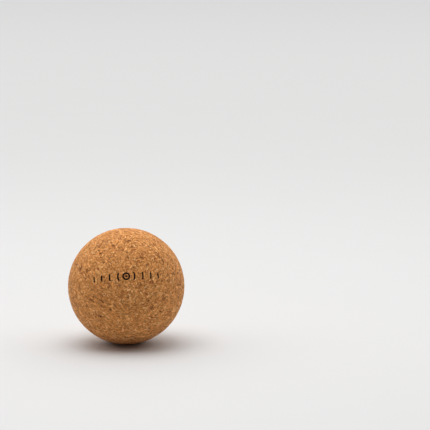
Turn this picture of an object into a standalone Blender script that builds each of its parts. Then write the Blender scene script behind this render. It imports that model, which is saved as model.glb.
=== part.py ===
"""Massage ball: one solid ball turned from agglomerated cork, with a mark printed on it in ink.

The mark is a ripple: a dot inside a ring, with arcs that spread and shrink to both sides. Every island
of ink is a thin solid of its own, and it lies in a shallow pocket, flush with the ball's surface.

Frame: the origin is the ball's centre, +Z is up and the print faces -Y, a little above the middle.
The unit is the metre.
"""
from math import asin, cos, pi, radians, sin

import bmesh
import bpy
from mathutils import Matrix

# Driving dimensions
BALL_RADIUS = 0.055
BALL_SUBDIVISIONS = 5            # icosphere steps; facets stay within 0.04 mm of the true sphere

INK_THICKNESS = 0.0003           # thickened from a real film of a few hundredths of a millimetre
CLEARANCE = 0.0003               # between the ink and the cork, on every side

PRINT_LIFT = radians(20.5)       # the middle of the print above the ball's equator
PRINT_SLANT = radians(3.2)       # the line of print rises to the right
STROKE_WIDTH = 0.0015
DOT_RADIUS = 0.00105
RING_RADIUS = 0.0029             # to the middle of the ring's stroke
RIPPLE_PITCH = 0.0078            # between one arc and the next, along the surface
RIPPLE_HEIGHTS = (0.0062, 0.0054, 0.0046, 0.0038)    # each arc between its end centres, outwards

CUTTER_REACH = 0.002             # half the height of the prisms that cut the ink and its pockets
ARC_STEPS = 6                    # segments along one side of an arc
CAP_STEPS = 4                    # segments round a stroke's end
DOT_STEPS = 12
RING_STEPS = 20

CORK = {"color": (0.56, 0.29, 0.11, 1.0), "roughness": 0.85, "metallic": 0.0}
INK = {"color": (0.030, 0.018, 0.012, 1.0), "roughness": 0.6, "metallic": 0.0}


def clear_scene():
    """Start from an empty scene."""
    for obj in list(bpy.data.objects):
        bpy.data.objects.remove(obj, do_unlink=True)


def new_collection(name):
    collection = bpy.data.collections.new(name)
    bpy.context.scene.collection.children.link(collection)
    return collection


def new_material(name, look):
    """A Principled material with one finish."""
    material = bpy.data.materials.new(name)
    material.use_nodes = True
    shader = material.node_tree.nodes["Principled BSDF"]
    shader.inputs["Base Color"].default_value = look["color"]
    shader.inputs["Roughness"].default_value = look["roughness"]
    shader.inputs["Metallic"].default_value = look["metallic"]
    return material


def move_to(obj, collection):
    """Keep the object in this collection alone."""
    for owner in list(obj.users_collection):
        owner.objects.unlink(obj)
    collection.objects.link(obj)


def make_guide(obj, collection):
    """Mark an object as a cutter: it shapes others and isn't a piece itself."""
    obj.hide_render = True
    obj.display_type = "WIRE"
    move_to(obj, collection)


def sphere(name, radius):
    """A faceted sphere about the origin. All the spheres share one facet pattern, so they stay parallel."""
    bpy.ops.mesh.primitive_ico_sphere_add(subdivisions=BALL_SUBDIVISIONS, radius=radius)
    obj = bpy.context.active_object
    obj.name = name
    obj.data.name = name
    return obj


def cut(obj, operation, cutter):
    """Add an exact Boolean with one cutter, or with a collection of them."""
    modifier = obj.modifiers.new(f"{operation.lower()}_{cutter.name}", "BOOLEAN")
    modifier.operation = operation
    modifier.solver = "EXACT"
    if isinstance(cutter, bpy.types.Collection):
        modifier.operand_type = "COLLECTION"
        modifier.collection = cutter
    else:
        modifier.object = cutter


def circle(radius, steps):
    """Points of a circle about the origin."""
    turns = [2 * pi * i / steps for i in range(steps)]
    return [(radius * cos(turn), radius * sin(turn)) for turn in turns]


def arc_stroke(radius, height, width):
    """Outline of a round-ended stroke along an arc. The stroke's middle is at the origin and the arc's
    centre is at -X."""
    half_angle = asin(height / 2 / radius)
    half_width = width / 2
    points = []
    for side in (1, -1):
        edge = radius + side * half_width
        for i in range(ARC_STEPS + 1):
            angle = side * half_angle * (2 * i / ARC_STEPS - 1)
            points.append((edge * cos(angle) - radius, edge * sin(angle)))
        end = side * half_angle
        for i in range(1, CAP_STEPS):
            turn = end + pi * i / CAP_STEPS + (0 if side > 0 else pi)
            x = radius * cos(end) + half_width * cos(turn)
            y = radius * sin(end) + half_width * sin(turn)
            points.append((x - radius, y))
    return points


def print_frame(offset):
    """Frame of a spot on the print line, this far to the right of the print's middle along the surface.
    X runs along the line, Y up the height of the print and Z out of the ball."""
    facing = Matrix.Rotation(pi / 2 - PRINT_LIFT, 4, "X")
    slant = Matrix.Rotation(PRINT_SLANT, 4, "Z")
    along = Matrix.Rotation(offset / BALL_RADIUS, 4, "Y")
    return facing @ slant @ along @ Matrix.Translation((0, 0, BALL_RADIUS))


def prism(name, loops, offset):
    """A solid of this flat outline, through the ball's surface at a spot on the print line. A second
    loop is a hole."""
    curve = bpy.data.curves.new(name, "CURVE")
    curve.dimensions = "2D"
    curve.fill_mode = "BOTH"
    curve.extrude = CUTTER_REACH
    for loop in loops:
        spline = curve.splines.new("POLY")
        spline.points.add(len(loop) - 1)
        for point, (x, y) in zip(spline.points, loop):
            point.co = (x, y, 0, 1)
        spline.use_cyclic_u = True
    flat = bpy.data.objects.new(f"{name}_outline", curve)
    bpy.context.scene.collection.objects.link(flat)
    mesh = bpy.data.meshes.new_from_object(flat.evaluated_get(bpy.context.evaluated_depsgraph_get()))
    bpy.data.objects.remove(flat, do_unlink=True)
    mesh.name = name
    weld(mesh)
    obj = bpy.data.objects.new(name, mesh)
    bpy.context.scene.collection.objects.link(obj)
    obj.matrix_world = print_frame(offset)
    return obj


def weld(mesh):
    """Join a converted curve's caps to its sides, with every face pointing out."""
    shape = bmesh.new()
    shape.from_mesh(mesh)
    bmesh.ops.remove_doubles(shape, verts=shape.verts, dist=1e-6)
    bmesh.ops.recalc_face_normals(shape, faces=shape.faces)
    shape.to_mesh(mesh)
    shape.free()


def print_islands():
    """Every island of ink as (name, place along the print line, function from a margin to its loops)."""
    half = STROKE_WIDTH / 2

    def dot(margin):
        return [circle(DOT_RADIUS + margin, DOT_STEPS)]

    def ring(margin):
        outer = circle(RING_RADIUS + half + margin, RING_STEPS)
        inner = circle(RING_RADIUS - half - margin, RING_STEPS)
        return [outer, inner]

    def ripple(distance, height, side):
        def loops(margin):
            points = arc_stroke(distance, height, STROKE_WIDTH + 2 * margin)
            return [[(side * x, y) for x, y in points]]
        return loops

    islands = [("print_dot", 0.0, dot), ("print_ring", 0.0, ring)]
    for side, word in ((-1, "left"), (1, "right")):
        for count, height in enumerate(RIPPLE_HEIGHTS, start=1):
            distance = count * RIPPLE_PITCH
            islands.append((f"print_ripple_{word}_{count}", side * distance, ripple(distance, height, side)))
    return islands


def build_print(parts, cutters, pockets, ink):
    """Make each island of ink as a thin slice of the ball's own skin, and the cutter for its pocket."""
    skin = sphere("ink_outer_face", BALL_RADIUS)
    ink_floor = sphere("ink_inner_face", BALL_RADIUS - INK_THICKNESS)
    pocket_floor = sphere("pocket_floor", BALL_RADIUS - INK_THICKNESS - CLEARANCE)
    for guide in (skin, ink_floor, pocket_floor):
        make_guide(guide, cutters)
    for name, offset, loops in print_islands():
        island = prism(name, loops(0.0), offset)
        cut(island, "INTERSECT", skin)
        cut(island, "DIFFERENCE", ink_floor)
        island.data.materials.append(ink)
        move_to(island, parts)
        pocket = prism(f"pocket_{name}", loops(CLEARANCE), offset)
        cut(pocket, "DIFFERENCE", pocket_floor)
        make_guide(pocket, pockets)


def build_ball(parts, pockets, cork):
    """The solid cork ball, with a pocket for each island of ink."""
    ball = sphere("cork_ball", BALL_RADIUS)
    cut(ball, "DIFFERENCE", pockets)
    ball.data.shade_smooth()
    ball.data.set_sharp_from_angle(angle=radians(30))
    ball.data.materials.append(cork)
    move_to(ball, parts)


def main():
    clear_scene()
    parts = new_collection("massage_ball")
    cutters = new_collection("massage_ball_cutters")
    pockets = new_collection("massage_ball_pockets")
    build_print(parts, cutters, pockets, new_material("print_ink", INK))
    build_ball(parts, pockets, new_material("cork", CORK))


main()
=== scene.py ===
"""Cork massage ball, ready to render.

The ball is one solid turned from agglomerated cork. Its skin is built granule by granule: every granule
has its own outline, height and tilt, the joints between them are real grooves, and where small granules
have torn out there are pits. The printed ripple mark is a thin sheet of ink that follows that surface and
misses the deep pits. The stage is a pale floor under soft lights.
"""
from math import cos, pi, radians, sin, sqrt

import bmesh
import bpy
import numpy as np
from bpy.props import FloatProperty, FloatVectorProperty, IntProperty, PointerProperty
from mathutils import Euler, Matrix, Vector, geometry, noise
from mathutils.bvhtree import BVHTree


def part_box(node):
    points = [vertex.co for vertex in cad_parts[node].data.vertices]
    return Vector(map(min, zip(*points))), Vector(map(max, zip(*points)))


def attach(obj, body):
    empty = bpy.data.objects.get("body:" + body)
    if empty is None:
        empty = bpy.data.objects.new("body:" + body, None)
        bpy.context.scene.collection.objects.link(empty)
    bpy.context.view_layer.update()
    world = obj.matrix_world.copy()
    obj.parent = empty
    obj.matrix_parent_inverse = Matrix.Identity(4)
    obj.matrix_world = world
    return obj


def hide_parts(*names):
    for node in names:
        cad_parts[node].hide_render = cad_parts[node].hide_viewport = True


bl_info = {
    "name": "Cork massage ball",
    "version": (1, 0, 0),
    "blender": (4, 5, 0),
    "location": "3D View > Sidebar > Massage ball",
    "description": "Builds a ball of agglomerated cork with a printed mark, and a soft studio stage",
    "category": "Object",
}

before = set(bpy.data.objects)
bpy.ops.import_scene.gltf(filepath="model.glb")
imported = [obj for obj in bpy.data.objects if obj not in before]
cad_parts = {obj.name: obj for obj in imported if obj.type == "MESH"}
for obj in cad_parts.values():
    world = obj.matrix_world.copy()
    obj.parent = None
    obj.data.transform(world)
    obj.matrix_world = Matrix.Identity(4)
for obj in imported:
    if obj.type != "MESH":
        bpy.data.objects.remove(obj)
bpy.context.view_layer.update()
BALL_LOW, BALL_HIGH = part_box("cork_ball")
BALL_RADIUS = (BALL_HIGH.z - BALL_LOW.z) / 2
MM = 0.001
GOLDEN_TURN = pi * (3 - sqrt(5))
BAKE_MAP = "OFBake"              # the UV map that a texture bake of the ball fills
BAKE_MARGIN = 0.035              # share of a tile of that map that is left empty round its edge

# The granules
LARGEST_GRANULE = 4              # cells
BENT_WALL = 1.2 * MM             # a wall longer than this has a bend in its middle
WALL_BEND = 0.11                 # the deepest bend, as a share of the wall's length
SWIRL_SIZE = 9 * MM              # across one eddy of the swirl
RAGGED_SIZE = 2.5 * MM           # the same for the small wander of every wall
RAGGED_REACH = 0.16 * MM
SHALLOW_JOINT = 0.18             # the shallowest joint, as a share of the deepest
JOINT_SPREAD = 2.5               # a higher power makes deep joints rarer
SHALLOW_PIT = 0.45               # the shallowest pit, as a share of the deepest
WIDEST_RIM = 0.4                 # of the way to the cell's middle
UNEVEN_RIM = 0.15
RIM_DROP = 0.012 * MM            # the rounded edge lies this far below the cut face
HIGHEST = 0.1 * MM               # nothing stands above the ball's surface by more
PRESSED = 1.6                    # how strongly the grain lies round the press, against its own way
GRAIN_SHIFT = 40                 # each granule takes its grain from a place up to this many mm away
DRAWN_OUT = 0.74                 # 0 leaves the grain as it is, and 1 would draw it out without end

# The ink
SIGHT = MM                       # rays start this far above the ball's surface
SIGHT_DEPTH = 4 * MM             # and look this far down
BLEED_SIZE = 0.7 * MM            # across one wander of the ink's edge
BLEED_SEED = 1                   # any number but 0, which would take the time of day
EDGE_HALVINGS = 5                # steps to find the ink's edge


# Settings

def length(name, description, default):
    """A length in metres."""
    return FloatProperty(name=name, description=description, default=default, min=0, unit="LENGTH",
                         precision=5)


def share(name, description, default):
    """A number from 0 to 1."""
    return FloatProperty(name=name, description=description, default=default, min=0, max=1, subtype="FACTOR")


def power(name, description, default):
    """A light's power in watts."""
    return FloatProperty(name=name, description=description, default=default, min=0, unit="POWER")


def colour(name, description, default):
    """A linear colour."""
    return FloatVectorProperty(name=name, description=description, default=default, size=3, min=0, max=1,
                               subtype="COLOR")


class CorkSettings(bpy.types.PropertyGroup):
    """The granules of the cork and their colours."""
    seed: IntProperty(name="Seed", description="Picks another scatter of granules", default=23)
    cells: IntProperty(name="Cells", description="Cells that the skin is divided into", default=6800)
    merged: share("Merged", "Share of the walls between cells that are dropped, to join granules", 0.22)
    jitter: share("Jitter", "How unevenly the cells are spread", 0.42)
    swirl: length("Swirl", "How far granules are pulled out of shape", 0.0011)
    press: FloatVectorProperty(name="Press", description="The way the block was pressed", size=3,
                               default=(0.15, -0.66, 0.74), subtype="DIRECTION")
    rim: length("Rim", "Width of a granule's rounded edge", 0.00032)
    joint_depth: length("Joint depth", "Depth of the deepest joints between granules", 0.00030)
    relief: length("Relief", "How far one granule stands above another", 0.00005)
    tilt: share("Tilt", "Slope of the granules' cut faces", 0.030)
    pits: share("Pits", "Share of the cells that have torn out", 0.03)
    pit_depth: length("Pit depth", "Depth of the deepest pits", 0.0007)
    cream: colour("Cream", "The palest crumbs", (0.85, 0.50, 0.225))
    pale: colour("Pale", "Clean, pale cork", (0.73, 0.347, 0.115))
    golden: colour("Golden", "Most of the cork", (0.67, 0.286, 0.082))
    tan: colour("Tan", "Darker cork", (0.60, 0.239, 0.064))
    russet: colour("Russet", "Reddish cork from near the bark", (0.49, 0.172, 0.046))
    bark: colour("Bark", "Flecks of bark", (0.17, 0.062, 0.020))
    # this colour is also the painted shade laid in the grooves between granules and in the torn pits
    joint: colour("Joint", "Binder and dust in the joints", (0.22, 0.082, 0.024))


class InkSettings(bpy.types.PropertyGroup):
    """The printed mark."""
    step: length("Step", "Width of one small patch of ink", 0.00013)
    height: length("Height", "Ink above the cork", 0.00005)
    bleed: length("Bleed", "How far the ink's edge wanders", 0.00003)
    skip: length("Skip", "Pits deeper than this take no ink", 0.0006)
    ink: colour("Ink", "Fresh ink", (0.005, 0.003, 0.002))
    worn: colour("Worn ink", "Ink that the cork shows through", (0.024, 0.010, 0.005))


class StageSettings(bpy.types.PropertyGroup):
    """The camera, the floor and the lights."""
    distance: length("Distance", "From the camera to the ball's centre", 1.9)
    lens: FloatProperty(name="Lens", description="Focal length in millimetres", default=167.8, min=1)
    look_down: FloatProperty(name="Look down", description="Slope of the line from the camera to the ball",
                             default=radians(11), subtype="ANGLE")
    left: FloatProperty(name="Left", description="How far the ball stands left of the camera's axis",
                        default=radians(2.58), subtype="ANGLE")
    low: FloatProperty(name="Low", description="How far the ball stands below the camera's axis",
                       default=radians(2.02), subtype="ANGLE")
    floor_size: length("Floor", "Radius of the floor", 14.0)
    fade_start: length("Fade start", "Where the floor starts to fade into the backdrop", 1.5)
    fade_end: length("Fade end", "Where the floor has become the backdrop", 8.0)
    floor_colour: colour("Floor colour", "Pale floor", (0.66, 0.66, 0.66))
    backdrop: colour("Backdrop", "What the camera sees beyond the floor", (0.70, 0.70, 0.70))
    room: colour("Room", "Light that reaches the stage from the room", (0.150, 0.143, 0.137))
    ceiling: power("Ceiling", "Power of the wide light over the floor", 1070)
    overhead: power("Overhead", "Power of the small light over the ball", 6.9)


# Shader maths

class Socket:
    """A node's output, which can be used in sums. Each sum adds its Math node."""

    def __init__(self, tree, output):
        self.tree = tree
        self.output = output

    def node(self, kind, settings=None, inputs=None, output=0):
        """Add a node of this type: its settings first, then the values or links of its sockets."""
        made = self.tree.nodes.new(kind)
        for key, value in (settings or {}).items():
            if key == "stops":
                set_stops(made.color_ramp, value)
            else:
                setattr(made, key, value)
        for key, value in (inputs or {}).items():
            if isinstance(value, Socket):
                self.tree.links.new(value.output, made.inputs[key])
            else:
                made.inputs[key].default_value = value
        return Socket(self.tree, made.outputs[output] if len(made.outputs) else None)

    def maths(self, operation, *values):
        return self.node("ShaderNodeMath", {"operation": operation}, dict(enumerate(values)))

    def __add__(self, other):
        return self.maths("ADD", self, other)

    __radd__ = __add__

    def __sub__(self, other):
        return self.maths("SUBTRACT", self, other)

    def __rsub__(self, other):
        return self.maths("SUBTRACT", other, self)

    def __mul__(self, other):
        return self.maths("MULTIPLY", self, other)

    __rmul__ = __mul__

    def ramp(self, low, high):
        """0 below low and 1 above high, smooth between."""
        inputs = {"Value": self, "From Min": low, "From Max": high}
        return self.node("ShaderNodeMapRange", {"interpolation_type": "SMOOTHSTEP"}, inputs)


def set_stops(ramp, stops):
    """Give a colour ramp these (place, colour) stops."""
    while len(ramp.elements) < len(stops):
        ramp.elements.new(1.0)
    for element, (place, tint) in zip(ramp.elements, stops):
        element.position = place
        element.color = (*tint, 1.0)


def start_material(name):
    """An empty material, its Principled shader and a Socket to build from."""
    material = bpy.data.materials.new(name)
    material.use_nodes = True
    tree = material.node_tree
    shader = tree.nodes["Principled BSDF"]
    return material, shader, Socket(tree, None)


def feed(shader, name, socket):
    """Link a Socket into the shader."""
    socket.tree.links.new(socket.output, shader.inputs[name])


def mixed(factor, first, second):
    """Colours mixed by a factor. Either colour is a Socket or three numbers."""
    inputs = {0: factor}
    for place, tint in ((6, first), (7, second)):
        inputs[place] = tint if isinstance(tint, Socket) else (*tint, 1.0)
    return factor.node("ShaderNodeMix", {"data_type": "RGBA"}, inputs, output=2)


def vector(operation, *values, scale=None, output=0):
    """A Vector Math node. SCALE takes its factor as scale."""
    start = next(value for value in values if isinstance(value, Socket))
    inputs = dict(enumerate(values))
    if scale is not None:
        inputs["Scale"] = scale
    return start.node("ShaderNodeVectorMath", {"operation": operation}, inputs, output)


def in_millimetres(start):
    """Places on the piece, in millimetres."""
    spot = start.node("ShaderNodeTexCoord", None, None, "Object")
    return vector("SCALE", spot, scale=1 / MM)


def grain(spot, scale, detail=2.0, roughness=0.5):
    """Soft noise about 0.5, with features 1/scale across."""
    inputs = {"Vector": spot, "Scale": scale, "Detail": detail, "Roughness": roughness}
    return spot.node("ShaderNodeTexNoise", None, inputs)


def crumb(spot, scale):
    """A random number from 0 to 1 for each crumb, with crumbs 1/scale across."""
    inputs = {"Vector": spot, "Scale": scale}
    tint = spot.node("ShaderNodeTexVoronoi", None, inputs, "Color")
    return spot.node("ShaderNodeSeparateColor", None, {"Color": tint})


def attribute(start, name, output=2):
    """A value stored on the mesh: output 2 is a number and 1 a vector."""
    return start.node("ShaderNodeAttribute", {"attribute_name": name}, None, output)


def wobble(spot, scale, reach):
    """A small random push, to make straight edges wavy."""
    inputs = {"Vector": spot, "Scale": scale, "Detail": 1.0}
    push = spot.node("ShaderNodeTexNoise", None, inputs, "Color")
    return vector("SCALE", vector("SUBTRACT", push, (0.5, 0.5, 0.5)), scale=reach)


# The cork's skin

def unit(points):
    """The same directions, each of length 1."""
    return points / np.linalg.norm(points, axis=1, keepdims=True)


def swirled(points, size, reach):
    """Points on the unit sphere pushed about by a smooth random field. Size and reach are in metres."""
    turned = [noise.noise_vector(Vector(point) * (BALL_RADIUS / size)) for point in points]
    return unit(points + np.array(turned) * (reach / BALL_RADIUS))


def scatter(settings, rng):
    """Unit directions spread over the ball, with uneven gaps."""
    place = np.arange(settings.cells) + 0.5
    height = 1 - 2 * place / settings.cells
    flat = np.sqrt(1 - height * height)
    turn = place * GOLDEN_TURN
    even = np.column_stack((flat * np.cos(turn), flat * np.sin(turn), height))
    gap = sqrt(4 * pi / settings.cells)
    return unit(even + rng.normal(0, settings.jitter * gap, even.shape))


def frames(outward):
    """For each outward direction, two directions along the surface."""
    up = np.where(abs(outward[:, 2:]) < 0.9, (0.0, 0.0, 1.0), (1.0, 0.0, 0.0))
    east = unit(np.cross(up, outward))
    return east, np.cross(outward, east)


def neighbours(points):
    """Triangles that join each point on the unit sphere to its neighbours. The points are drawn flat, as
    seen from the last of them, and joined there. The last one belongs to the edge of the drawing."""
    last = len(points) - 1
    east, north = frames(points[last:])
    others = points[:last]
    flat = np.column_stack((others @ east[0], others @ north[0])) / (1 - others @ points[last])[:, None]
    drawn = geometry.delaunay_2d_cdt([Vector(place) for place in flat], [], [], 0, 1e-7, True)
    own = [ids[0] for ids in drawn[3]]
    triangles = np.array([[own[corner] for corner in face] for face in drawn[2]])
    edges = np.sort(np.vstack((triangles[:, :2], triangles[:, 1:], triangles[:, ::2])), axis=1)
    edges, uses = np.unique(edges, axis=0, return_counts=True)
    border = edges[uses == 1]
    return np.vstack((triangles, np.column_stack((border, np.full(len(border), last)))))


class Mosaic:
    """The ball's skin divided into cells. A cell's corners are the middles of the triangles."""

    def __init__(self, settings, rng):
        seeds = scatter(settings, rng)
        triangles = neighbours(seeds)
        corner = np.cross(seeds[triangles[:, 1]] - seeds[triangles[:, 0]],
                          seeds[triangles[:, 2]] - seeds[triangles[:, 0]])
        corner *= np.sign(np.einsum("ij,ij->i", corner, seeds[triangles[:, 0]]))[:, None]
        self.corners = unit(corner)
        self.seeds = seeds
        self.rings = self.order_rings(seeds, triangles)
        self.cells = len(self.rings)
        self.find_walls()

    def order_rings(self, seeds, triangles):
        """For each seed, its cell's corners in order round it."""
        owner = triangles.ravel()
        corner = np.repeat(np.arange(len(triangles)), 3)
        east, north = frames(seeds)
        away = self.corners[corner]
        upward = np.einsum("ij,ij->i", away, north[owner])
        angle = np.arctan2(upward, np.einsum("ij,ij->i", away, east[owner]))
        order = np.lexsort((angle, owner))
        starts = np.flatnonzero(np.diff(owner[order])) + 1
        return [ring for ring in np.split(corner[order], starts) if len(ring) > 2]

    def find_walls(self):
        """Every wall between two cells: its two corners and the two cells."""
        number = {}
        self.walls = []
        self.wall_cells = []
        self.ring_walls = []
        for cell, ring in enumerate(self.rings):
            own = []
            for first, second in zip(ring, np.roll(ring, -1)):
                key = (min(first, second), max(first, second))
                wall = number.setdefault(key, len(number))
                if wall == len(self.walls):
                    self.walls.append(key)
                    self.wall_cells.append([cell, cell])
                self.wall_cells[wall][1] = cell
                own.append(wall)
            self.ring_walls.append(own)
        self.walls = np.array(self.walls)
        self.wall_cells = np.array(self.wall_cells)


def round_the_press(outward, settings):
    """The way the granules lie: flattened by the press, so along circles about its direction."""
    return np.cross(unit(np.array([settings.press]))[0], outward)


def join_cells(mosaic, settings, rng):
    """Number the granules: most are one cell, and some are a few cells with no wall between. Cells that
    lie one behind the other along the grain join most often."""
    granule = np.arange(mosaic.cells)
    size = np.ones(mosaic.cells, int)
    first, second = mosaic.seeds[mosaic.wall_cells].swapaxes(0, 1)
    aligned = (unit(second - first) * round_the_press(first, settings)).sum(axis=1) ** 2
    # aligned is about a third on average, so 3 keeps the share of dropped walls at merged
    picks = np.flatnonzero(rng.random(len(mosaic.walls)) < settings.merged * 3 * aligned)
    for wall in rng.permutation(picks):
        one, other = granule[mosaic.wall_cells[wall]]
        if one != other and size[one] + size[other] <= LARGEST_GRANULE:
            granule[granule == other] = one
            size[one] += size[other]
    return granule


class Boundary:
    """The points where cells meet: the mosaic's corners, and a bend in the middle of each long wall."""

    def __init__(self, mosaic, granule, settings, rng):
        ends = mosaic.corners[mosaic.walls]
        span = ends[:, 1] - ends[:, 0]
        bent = np.linalg.norm(span, axis=1) > BENT_WALL / BALL_RADIUS
        bend = np.cross(span, ends[:, 0]) * rng.uniform(-WALL_BEND, WALL_BEND, (len(span), 1))
        middle = unit(ends.mean(axis=1) + bend)
        self.bend_point = np.full(len(span), -1)
        self.bend_point[bent] = len(mosaic.corners) + np.arange(bent.sum())
        points = np.vstack((mosaic.corners, middle[bent]))
        points = swirled(points, SWIRL_SIZE, settings.swirl)
        self.points = swirled(points, RAGGED_SIZE, RAGGED_REACH)

        joints = granule[mosaic.wall_cells[:, 0]] != granule[mosaic.wall_cells[:, 1]]
        self.in_joint = np.zeros(len(self.points), bool)
        self.in_joint[mosaic.walls[joints].ravel()] = True
        self.in_joint[self.bend_point[joints & bent]] = True
        self.loops = [self.loop(ring, walls) for ring, walls in zip(mosaic.rings, mosaic.ring_walls)]

    def loop(self, ring, walls):
        """A cell's boundary in order: each corner, then the bend of the wall that starts there."""
        loop = []
        for corner, wall in zip(ring, walls):
            loop.append(corner)
            if self.bend_point[wall] >= 0:
                loop.append(self.bend_point[wall])
        return np.array(loop)


class CutFaces:
    """The granules' cut faces, each with its own height and tilt. Torn granules lie deep."""

    def __init__(self, middles, granule, settings, rng):
        cells = len(granule)
        self.home = middles[granule]
        self.relief = rng.normal(0, settings.relief, cells)[granule]
        self.tilt = rng.normal(0, settings.tilt, (cells, 3))[granule]
        lone = np.bincount(granule, minlength=cells)[granule] == 1
        self.torn = lone & (rng.random(cells) < settings.pits)
        depth = rng.uniform(SHALLOW_PIT, 1.0, cells) * settings.pit_depth
        self.relief -= np.where(self.torn, depth, 0)

    def height(self, spots, cell):
        """How high these spots on a cell's face stand above the ball's surface."""
        slope = ((spots - self.home[cell]) * self.tilt[cell]).sum(axis=1) * BALL_RADIUS
        return self.relief[cell] + slope


def boundary_heights(boundary, cut, settings, rng):
    """Points in a joint lie at its depth, and points inside a granule lie on its face."""
    total = np.zeros(len(boundary.points))
    count = np.zeros(len(boundary.points))
    for cell, loop in enumerate(boundary.loops):
        if not cut.torn[cell]:
            total[loop] += cut.height(boundary.points[loop], cell)
            count[loop] += 1
    share_deep = rng.random(len(boundary.points)) ** JOINT_SPREAD
    depth = settings.joint_depth * (SHALLOW_JOINT + (1 - SHALLOW_JOINT) * share_deep)
    return total / np.maximum(count, 1) - np.where(boundary.in_joint, depth, 0)


def inner_points(boundary, middles, cut, settings, rng):
    """For each cell, a rim of points a little inside its walls, and then its middle."""
    spots = []
    heights = []
    for cell, loop in enumerate(boundary.loops):
        edge = boundary.points[loop]
        inward = middles[cell] - edge
        rim = settings.rim / BALL_RADIUS / np.linalg.norm(inward, axis=1).mean()
        uneven = rng.uniform(1 - UNEVEN_RIM, 1 + UNEVEN_RIM, (len(loop), 1))
        own = np.vstack((unit(edge + inward * min(rim, WIDEST_RIM) * uneven), middles[cell]))
        own_heights = cut.height(own, cell)
        own_heights[:-1] -= RIM_DROP
        spots.append(own)
        heights.append(own_heights)
    return np.vstack(spots), np.concatenate(heights)


def join_points(loops, first_inner):
    """Each cell's faces, a band from its walls to its rim and a fan from there to its middle. Gives all
    the bands, then all the fans, and the cell that each face belongs to."""
    bands = []
    fans = []
    for loop in loops:
        rim = first_inner + np.arange(len(loop))
        middle = first_inner + len(loop)
        bands.append(np.column_stack((loop, np.roll(loop, -1), np.roll(rim, -1), rim)))
        fans.append(np.column_stack((rim, np.roll(rim, -1), np.full(len(loop), middle))))
        first_inner = middle + 1
    owner = np.repeat(np.arange(len(loops)), [len(loop) for loop in loops])
    return np.vstack(bands).tolist() + np.vstack(fans).tolist(), np.tile(owner, 2)


def build_skin(settings):
    """The points, faces and stored values of the cork's skin."""
    rng = np.random.default_rng(settings.seed)
    noise.seed_set(1 + settings.seed)    # never 0, which would take the time of day
    mosaic = Mosaic(settings, rng)
    granule = join_cells(mosaic, settings, rng)
    boundary = Boundary(mosaic, granule, settings, rng)
    middles = unit(np.array([boundary.points[loop].mean(axis=0) for loop in boundary.loops]))
    cut = CutFaces(middles, granule, settings, rng)
    edge_heights = boundary_heights(boundary, cut, settings, rng)
    spots, heights = inner_points(boundary, middles, cut, settings, rng)
    faces, owner = join_points(boundary.loops, len(boundary.points))
    heights = np.minimum(np.concatenate((edge_heights, heights)), HIGHEST)
    points = np.vstack((boundary.points, spots)) * (BALL_RADIUS + heights)[:, None]
    values = {
        "tone": rng.random(mosaic.cells)[granule][owner],
        "shift": rng.uniform(-GRAIN_SHIFT, GRAIN_SHIFT, mosaic.cells)[granule][owner],
        "torn": cut.torn[owner].astype(float),
    }
    own_way = unit(np.cross(middles, rng.normal(0, 1, (mosaic.cells, 3))))
    axis = unit(own_way + PRESSED * round_the_press(middles, settings))[granule][owner]
    joint = np.concatenate((boundary.in_joint.astype(float), np.zeros(len(spots))))
    return points, faces, values, axis, joint


def bake_places(corners, middles):
    """Where each face's corners lie on a map of the six sides of a cube, three across and two up. Each
    corner comes with the middle of its face, which picks the side."""
    side = np.argmax(abs(middles), axis=1)
    facing = np.take_along_axis(middles, side[:, None], 1)[:, 0] > 0
    tile = side * 2 + facing
    across = np.take_along_axis(corners, ((side + 1) % 3)[:, None], 1)[:, 0]
    upward = np.take_along_axis(corners, ((side + 2) % 3)[:, None], 1)[:, 0]
    outward = abs(np.take_along_axis(corners, side[:, None], 1)[:, 0])
    flat = np.column_stack((np.arctan2(across, outward), np.arctan2(upward, outward))) / (pi / 4)
    place = np.column_stack((tile % 3, tile // 3)) + 0.5 + 0.5 * (1 - BAKE_MARGIN) * flat
    return place / (3, 2)


def make_skin_mesh(settings):
    """The cork's skin as a mesh, with the granules' values and a bake map."""
    points, faces, values, axis, joint = build_skin(settings)
    mesh = bpy.data.meshes.new("cork_skin")
    mesh.from_pydata(points.tolist(), [], faces)
    for name, numbers in values.items():
        mesh.attributes.new(name, "FLOAT", "FACE").data.foreach_set("value", numbers)
    mesh.attributes.new("axis", "FLOAT_VECTOR", "FACE").data.foreach_set("vector", axis.ravel())
    mesh.attributes.new("joint", "FLOAT", "POINT").data.foreach_set("value", joint)
    corner_point = np.zeros(len(mesh.loops), int)
    mesh.loops.foreach_get("vertex_index", corner_point)
    sizes = np.array([len(face) for face in faces])
    face_of_corner = np.repeat(np.arange(len(faces)), sizes)
    middles = np.add.reduceat(points[corner_point], np.concatenate(([0], np.cumsum(sizes)[:-1])))
    places = bake_places(points[corner_point], middles[face_of_corner])
    mesh.uv_layers.new(name=BAKE_MAP).data.foreach_set("uv", places.ravel())
    mesh.shade_smooth()
    mesh.update()
    return mesh


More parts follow.
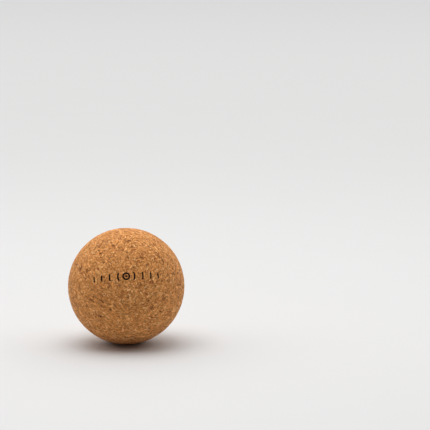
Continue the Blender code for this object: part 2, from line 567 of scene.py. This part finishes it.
class CorkPatterns:
    """What varies over the cork. The scales are per millimetre."""

    def __init__(self, start):
        spot = in_millimetres(start)
        self.tone = attribute(start, "tone")
        self.torn = attribute(start, "torn")

        # every granule has its own piece of the grain, drawn out along its own axis
        shift = attribute(start, "shift")
        shift = shift.node("ShaderNodeCombineXYZ", None, {"X": shift, "Y": shift, "Z": shift})
        own = vector("ADD", spot, shift)
        axis = attribute(start, "axis", output=1)
        along = vector("DOT_PRODUCT", own, axis, output=1)
        drawn = vector("SUBTRACT", own, vector("SCALE", axis, scale=along * DRAWN_OUT))
        drawn = vector("ADD", drawn, wobble(own, scale=1.1, reach=0.9))

        self.streaks = grain(drawn, scale=1.0, detail=3.0, roughness=0.7)
        self.crumbs = crumb(drawn, scale=0.60)
        self.slivers = crumb(drawn, scale=1.15)
        self.specks = grain(own, scale=2.2, roughness=0.6)
        self.fine = grain(own, scale=3.6, detail=3.0, roughness=0.65)
        self.patches = grain(spot, scale=0.13)

        # dust and binder darken the joints, but for those that are closed, and this darkening is also
        # painted shade in the grooves
        self.dust_and_groove_shade = attribute(start, "joint").ramp(0.05, 0.60) * grain(spot, scale=0.5).ramp(0.38, 0.60)


def cork_colour(pattern, settings):
    """Each crumb has its own colour. There are pale slivers, flecks of bark, and dust and binder in the
    joints, which also stand as painted shade in the grooves and the torn pits.
    """
    spread = 0.5 * pattern.tone + 0.5 * pattern.crumbs
    picked = spread + (pattern.patches - 0.5) * 0.30 + (pattern.streaks - 0.5) * 0.5
    stops = [(0.02, settings.bark), (0.10, settings.russet), (0.32, settings.tan), (0.52, settings.golden),
             (0.75, settings.golden), (0.92, settings.pale)]
    body = picked.node("ShaderNodeValToRGB", {"stops": stops}, {"Fac": picked})
    body = mixed(pattern.slivers.ramp(0.90, 0.94) * 0.7, body, settings.cream)
    body = mixed(pattern.slivers.ramp(0.07, 0.03) * 0.6, body, settings.bark)
    body = mixed(pattern.dust_and_groove_shade * 0.85, body, settings.joint)
    # torn pits take the joint colour at half strength: partly exposed binder, partly painted shade in the
    # pit
    body = mixed(pattern.torn * 0.5, body, settings.joint)
    # crumbs, slivers and streaks make the colour lighter or darker at random: partly the cork's own tone,
    # partly painted shade for relief finer than the mesh
    tone_and_painted_shade = 1.0 + (pattern.crumbs - 0.5) * 0.35 + (pattern.slivers - 0.5) * 0.40
    return vector("SCALE", body, scale=tone_and_painted_shade + (pattern.streaks - 0.5) * 1.2)


def cork_finish(settings):
    """Cork: dry and matt, with a faint bloom where it is seen edge on."""
    material, shader, start = start_material("cork")
    pattern = CorkPatterns(start)
    feed(shader, "Base Color", cork_colour(pattern, settings))
    feed(shader, "Roughness", 0.80 + 0.14 * pattern.specks)
    height = pattern.fine + pattern.streaks
    bump = height.node("ShaderNodeBump", None, {"Strength": 0.8, "Distance": 0.12 * MM, "Height": height})
    feed(shader, "Normal", bump)
    shader.inputs["Specular IOR Level"].default_value = 0.2
    shader.inputs["Sheen Weight"].default_value = 0.07
    shader.inputs["Sheen Roughness"].default_value = 0.5
    shader.inputs["Sheen Tint"].default_value = (1.0, 0.86, 0.68, 1.0)
    return material


def show(name, mesh, material, slot, *nodes):
    """Put a finished piece on the ball's body, in place of its CAD nodes."""
    piece = bpy.data.objects.new(name, mesh)
    bpy.context.scene.collection.objects.link(piece)
    mesh.materials.append(material)
    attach(piece, "root")
    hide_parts(*nodes)
    return piece


class BALL_OT_cork(bpy.types.Operator):
    """Build the ball's skin of cork granules"""
    bl_idname = "massage_ball.cork"
    bl_label = "Cork ball"

    def execute(self, context):
        settings = context.scene.ball_cork
        show("cork_skin", make_skin_mesh(settings), cork_finish(settings), "cork", "cork_ball")
        return {"FINISHED"}


# The printed mark

def ink_finish(settings):
    """Matt ink that the cork's grain shows through."""
    material, shader, start = start_material("print_ink")
    wear = grain(in_millimetres(start), scale=1.5, detail=3.0, roughness=0.7)
    feed(shader, "Base Color", mixed(wear.ramp(0.54, 0.80), settings.ink, settings.worn))
    feed(shader, "Roughness", 0.48 + 0.25 * wear)
    bump = wear.node("ShaderNodeBump", None, {"Strength": 0.5, "Distance": 0.1 * MM, "Height": wear})
    feed(shader, "Normal", bump)
    shader.inputs["Specular IOR Level"].default_value = 0.06
    return material


def surface_tree(mesh, slack=0.0):
    """A mesh's faces, ready to be met by rays."""
    return BVHTree.FromPolygons([vert.co.copy() for vert in mesh.vertices],
                                [list(face.vertices) for face in mesh.polygons], epsilon=slack)


class Stencil:
    """The outline of one CAD island of ink, as seen from the ball's centre."""

    def __init__(self, node, settings):
        self.tree = surface_tree(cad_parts[node].data)
        low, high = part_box(node)
        self.out = ((low + high) / 2).normalized()
        self.right = self.out.cross(Vector((0, 0, 1))).normalized()
        self.up = self.right.cross(self.out)
        self.half = (high - low).length / 2 + 2 * settings.step
        self.bleed = settings.bleed

    def direction(self, x, y):
        """From the ball's centre to a place this far right and up of the island's middle."""
        return (self.out * BALL_RADIUS + self.right * x + self.up * y).normalized()

    def covers(self, x, y):
        """True where there is ink. The edge wanders as ink does on a rough surface."""
        toward = self.direction(x, y)
        wander = noise.noise_vector(toward * (BALL_RADIUS / BLEED_SIZE)) * self.bleed
        outside = (toward * BALL_RADIUS + wander).normalized() * (BALL_RADIUS + SIGHT)
        return self.tree.ray_cast(outside, -outside.normalized(), 2 * SIGHT)[0] is not None


class InkSheet:
    """A sheet of small patches inside one stencil's outline, laid on the cork."""

    def __init__(self, stencil, cork, settings):
        self.stencil = stencil
        self.cork = cork
        self.settings = settings
        self.shape = bmesh.new()
        self.laid = {}
        reach = int(stencil.half / settings.step) + 1
        self.steps = range(-reach, reach + 1)
        self.covered = {(i, j) for i in self.steps for j in self.steps
                        if stencil.covers(i * settings.step, j * settings.step)}

    def pulled_back(self, i, j):
        """The place on the outline between this bare grid point and its covered neighbours."""
        step = self.settings.step
        near = [(i + a, j + b) for a in (-1, 0, 1) for b in (-1, 0, 1) if (i + a, j + b) in self.covered]
        x = sum(a for a, b in near) / len(near) * step
        y = sum(b for a, b in near) / len(near) * step
        way_x, way_y = i * step - x, j * step - y
        low, high = 0.0, 1.0
        for _ in range(EDGE_HALVINGS):
            middle = (low + high) / 2
            if self.stencil.covers(x + way_x * middle, y + way_y * middle):
                low = middle
            else:
                high = middle
        return x + way_x * low, y + way_y * low

    def lay(self, x, y):
        """A vertex on the cork at this place, just clear of it, and its depth below the ball's surface."""
        toward = self.stencil.direction(x, y)
        hit = self.cork.ray_cast(toward * (BALL_RADIUS + SIGHT), -toward, SIGHT_DEPTH)[0]
        if hit is None:
            raise RuntimeError("there is no cork under the ink")
        return self.shape.verts.new(hit + toward * self.settings.height), BALL_RADIUS - hit.length

    def point(self, i, j):
        """The laid vertex and depth of a grid point."""
        if (i, j) not in self.laid:
            inside = (i, j) in self.covered
            place = (i * self.settings.step, j * self.settings.step) if inside else self.pulled_back(i, j)
            self.laid[i, j] = self.lay(*place)
        return self.laid[i, j]

    def add_patch(self, i, j):
        """One patch, if at least two of its corners are covered and the cork isn't torn away there."""
        corners = [(i, j), (i + 1, j), (i + 1, j + 1), (i, j + 1)]
        if sum(corner in self.covered for corner in corners) < 2:
            return
        points = [self.point(*corner) for corner in corners]
        if sum(depth for vert, depth in points) / 4 < self.settings.skip:
            self.shape.faces.new([vert for vert, depth in points])

    def mesh(self, name):
        """Lay every patch, and turn the sheet into a mesh."""
        for i in self.steps[:-1]:
            for j in self.steps[:-1]:
                self.add_patch(i, j)
        loose = [vert for vert in self.shape.verts if not vert.link_faces]
        bmesh.ops.delete(self.shape, geom=loose, context="VERTS")
        mesh = bpy.data.meshes.new(name)
        self.shape.to_mesh(mesh)
        self.shape.free()
        mesh.shade_smooth()
        return mesh


class BALL_OT_print(bpy.types.Operator):
    """Lay the printed mark on the cork, one island of ink for each of the CAD's"""
    bl_idname = "massage_ball.print"
    bl_label = "Printed mark"

    def execute(self, context):
        settings = context.scene.ball_ink
        cork = surface_tree(bpy.data.objects["cork_skin"].data, slack=0.01 * MM)
        ink = ink_finish(settings)
        noise.seed_set(BLEED_SEED)
        for node in sorted(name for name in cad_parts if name.startswith("print_")):
            name = node.replace("print_", "ink_")
            sheet = InkSheet(Stencil(node, settings), cork, settings)
            show(name, sheet.mesh(name), ink, "print_ink", node)
        return {"FINISHED"}


# The stage

def floor_finish(settings):
    """A matt, pale floor with the faintest unevenness, which fades into the backdrop far away."""
    material, shader, start = start_material("floor")
    spot = start.node("ShaderNodeTexCoord", None, None, "Object")
    cloud = grain(spot, scale=9.0, detail=3.0)
    darker = tuple(0.985 * part for part in settings.floor_colour)
    feed(shader, "Base Color", mixed(cloud, settings.floor_colour, darker))
    shader.inputs["Roughness"].default_value = 0.75
    shader.inputs["Specular IOR Level"].default_value = 0.25
    away = vector("LENGTH", spot, output=1).ramp(settings.fade_start, settings.fade_end)
    glow = start.node("ShaderNodeEmission", None, {"Color": (*settings.backdrop, 1.0)})
    near = Socket(start.tree, shader.outputs["BSDF"])
    faded = start.node("ShaderNodeMixShader", None, {"Fac": away, 1: near, 2: glow})
    output = start.tree.nodes["Material Output"]
    feed(output, "Surface", faded)
    return material


def make_floor(settings):
    """A round floor that touches the ball's lowest point."""
    bpy.ops.mesh.primitive_circle_add(vertices=96, radius=settings.floor_size, fill_type="NGON",
                                      location=(0, 0, BALL_LOW.z))
    floor = bpy.context.active_object
    floor.name = "stage_floor"
    floor.data.materials.append(floor_finish(settings))


def make_light(name, place, size, watts, aim=(0, 0, 0)):
    """A soft panel that faces a point, usually the ball."""
    light = bpy.data.lights.new(name, "AREA")
    light.shape = "RECTANGLE"
    light.size, light.size_y = size
    light.energy = watts
    holder = bpy.data.objects.new(name, light)
    holder.location = place
    holder.rotation_euler = (Vector(aim) - Vector(place)).to_track_quat("-Z", "Y").to_euler()
    bpy.context.scene.collection.objects.link(holder)


def make_lights(settings):
    """A ceiling that faces straight down, mostly behind the ball, and a small panel above the ball."""
    x, y, height = -0.7, 4.6, 4.0
    make_light("ceiling", (x, y, height), (20.0, 13.5), settings.ceiling, aim=(x, y, 0))
    make_light("overhead", (-0.15, 0.0, 1.3), (1.0, 1.0), settings.overhead)


def make_surroundings(settings):
    """A dim room, with a pale backdrop for the camera to see."""
    world = bpy.data.worlds.new("surroundings")
    world.use_nodes = True
    tree = world.node_tree
    backdrop = tree.nodes["Background"]
    seen = Socket(tree, None).node("ShaderNodeLightPath", None, None, "Is Camera Ray")
    feed(backdrop, "Color", mixed(seen, settings.room, settings.backdrop))
    bpy.context.scene.world = world


def make_camera(settings):
    """A long lens a little above the ball, which stands low and left in the frame."""
    data = bpy.data.cameras.new("camera")
    data.lens = settings.lens
    data.clip_end = 10 * settings.floor_size
    camera = bpy.data.objects.new("camera", data)
    back = Vector((0, -cos(settings.look_down), sin(settings.look_down)))
    camera.location = back * settings.distance
    camera.rotation_euler = Euler((pi / 2 - settings.look_down + settings.low, 0, -settings.left))
    bpy.context.scene.collection.objects.link(camera)
    bpy.context.scene.camera = camera


class BALL_OT_stage(bpy.types.Operator):
    """Set up the floor, the soft lights and the camera"""
    bl_idname = "massage_ball.stage"
    bl_label = "Stage"

    def execute(self, context):
        settings = context.scene.ball_stage
        make_floor(settings)
        make_surroundings(settings)
        make_lights(settings)
        make_camera(settings)
        context.scene.view_settings.view_transform = "Standard"
        return {"FINISHED"}


class BALL_PT_panel(bpy.types.Panel):
    """The steps that build the massage ball"""
    bl_idname = "BALL_PT_panel"
    bl_label = "Massage ball"
    bl_space_type = "VIEW_3D"
    bl_region_type = "UI"
    bl_category = "Massage ball"

    def draw(self, context):
        """One box for each step, with its settings."""
        for operator, group in ((BALL_OT_cork, "ball_cork"), (BALL_OT_print, "ball_ink"),
                                (BALL_OT_stage, "ball_stage")):
            box = self.layout.box()
            box.operator(operator.bl_idname)
            settings = getattr(context.scene, group)
            for name in settings.bl_rna.properties.keys():
                if name not in ("rna_type", "name"):
                    box.prop(settings, name)


CLASSES = (CorkSettings, InkSettings, StageSettings, BALL_OT_cork, BALL_OT_print, BALL_OT_stage,
           BALL_PT_panel)


def register():
    """Make the settings, the steps and the panel known to Blender."""
    for made in CLASSES:
        bpy.utils.register_class(made)
    bpy.types.Scene.ball_cork = PointerProperty(type=CorkSettings)
    bpy.types.Scene.ball_ink = PointerProperty(type=InkSettings)
    bpy.types.Scene.ball_stage = PointerProperty(type=StageSettings)


def unregister():
    """Take them away again."""
    for name in ("ball_cork", "ball_ink", "ball_stage"):
        delattr(bpy.types.Scene, name)
    for made in reversed(CLASSES):
        bpy.utils.unregister_class(made)


def main():
    """Build the ball and its stage."""
    register()
    bpy.ops.massage_ball.cork()
    bpy.ops.massage_ball.print()
    bpy.ops.massage_ball.stage()


if __name__ == "__main__":
    main()
